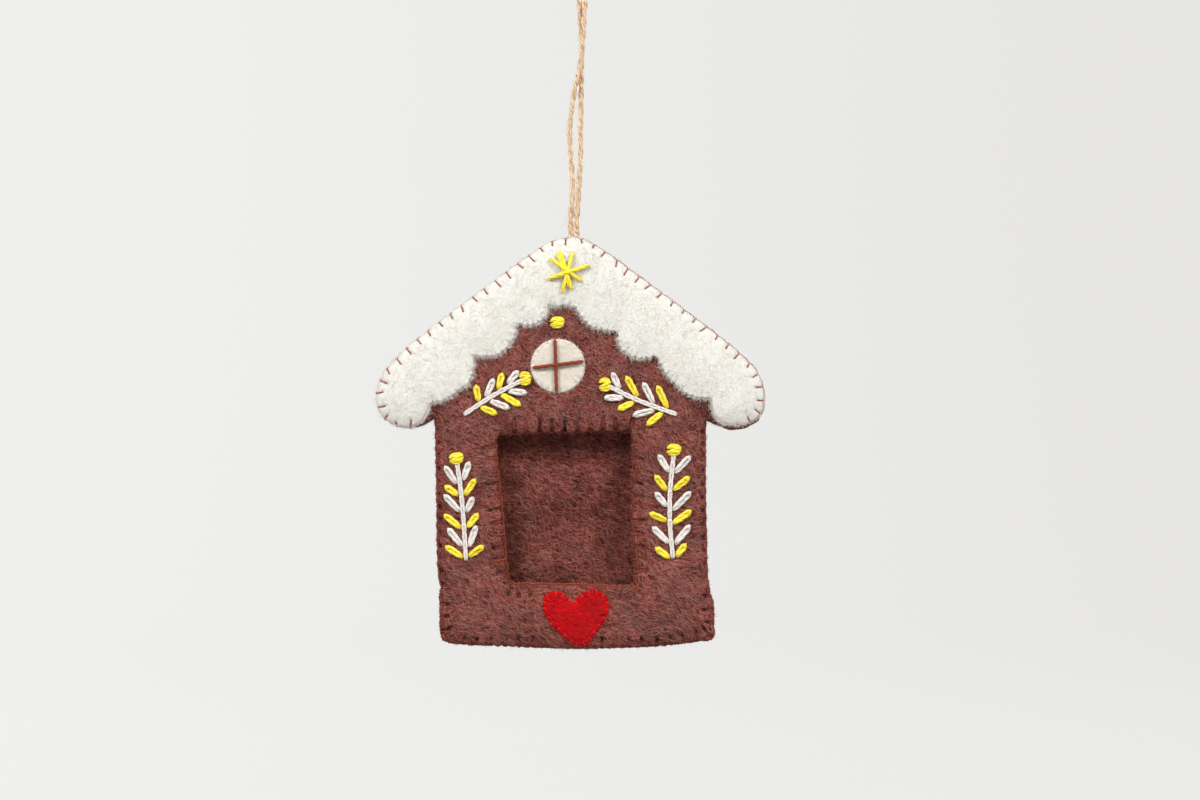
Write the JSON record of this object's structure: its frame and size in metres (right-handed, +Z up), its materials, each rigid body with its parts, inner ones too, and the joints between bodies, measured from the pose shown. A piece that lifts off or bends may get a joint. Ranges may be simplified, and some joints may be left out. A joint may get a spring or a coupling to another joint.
{
  "type": "picture frame ornament",
  "caption": "Hand-sewn wool felt house with a snowy roof and a picture window with an open-sided pocket behind it, embroidered, hanging on a loop of jute twine.",
  "frame": {"origin": "inside of the top of the hanging loop, where the hook or twig goes", "axes": "+Z up along the loop, +X to the right of someone who faces the front, -Y out of the front of the house"},
  "size_m": [0.106, 0.0127, 0.1894],
  "materials": {
    "brown_felt": "heathered wool felt, hairy",
    "white_felt": "natural white wool felt, hairy",
    "red_felt": "dyed wool felt",
    "wadding": "soft matt wadding",
    "jute_twine": "two-ply jute twine with loose fibres",
    "rust_thread": "stranded cotton, slight sheen",
    "brown_thread": "stranded cotton, slight sheen",
    "white_thread": "stranded cotton, slight sheen",
    "yellow_thread": "stranded cotton, slight sheen"
  },
  "bodies": {
    "loop": {"twine_loop": "jute_twine"},
    "house": {"face_panel": "brown_felt", "lining_panel": "brown_felt", "back_panel": "brown_felt", "snow_roof": "white_felt", "gable_window": "white_felt", "heart_patch": "red_felt", "wadding": "wadding", "twine_anchor": "jute_twine", "roof_edge_stitch": "rust_thread", "window_stitch": "rust_thread", "mullion_stitch": "rust_thread", "lower_edge_stitch": "brown_thread", "left_side_stitch": "brown_thread", "right_side_stitch": "brown_thread", "snow_hem_stitch": "white_thread", "star_stitch": "yellow_thread", "gable_knot": "yellow_thread", "left_sprig_stem": "white_thread", "left_sprig_leaf_1": "yellow_thread", "left_sprig_leaf_2": "yellow_thread", "left_sprig_leaf_3": "yellow_thread", "left_sprig_leaf_4": "yellow_thread", "left_sprig_leaf_5": "yellow_thread", "left_sprig_leaf_6": "yellow_thread", "left_sprig_knot": "yellow_thread", "right_sprig_stem": "white_thread", "right_sprig_leaf_1": "yellow_thread", "right_sprig_leaf_2": "yellow_thread", "right_sprig_leaf_3": "yellow_thread", "right_sprig_leaf_4": "yellow_thread", "right_sprig_leaf_5": "yellow_thread", "right_sprig_leaf_6": "yellow_thread", "right_sprig_knot": "yellow_thread", "upper_left_sprig_stem": "white_thread", "upper_left_sprig_leaf_1": "yellow_thread", "upper_left_sprig_leaf_2": "yellow_thread", "upper_left_sprig_leaf_3": "yellow_thread", "upper_left_sprig_leaf_4": "yellow_thread", "upper_left_sprig_knot": "yellow_thread", "upper_right_sprig_stem": "white_thread", "upper_right_sprig_leaf_1": "yellow_thread", "upper_right_sprig_leaf_2": "yellow_thread", "upper_right_sprig_leaf_3": "yellow_thread", "upper_right_sprig_leaf_4": "yellow_thread", "upper_right_sprig_knot": "yellow_thread"}
  },
  "joints": [
    {"name": "house_swing", "type": "hinge", "parent": "loop", "child": "house", "pos_m": [-0.0023, 0, -0.0743], "axis": [1, 0, 0], "range_deg": [-90, 90]}
  ]
}
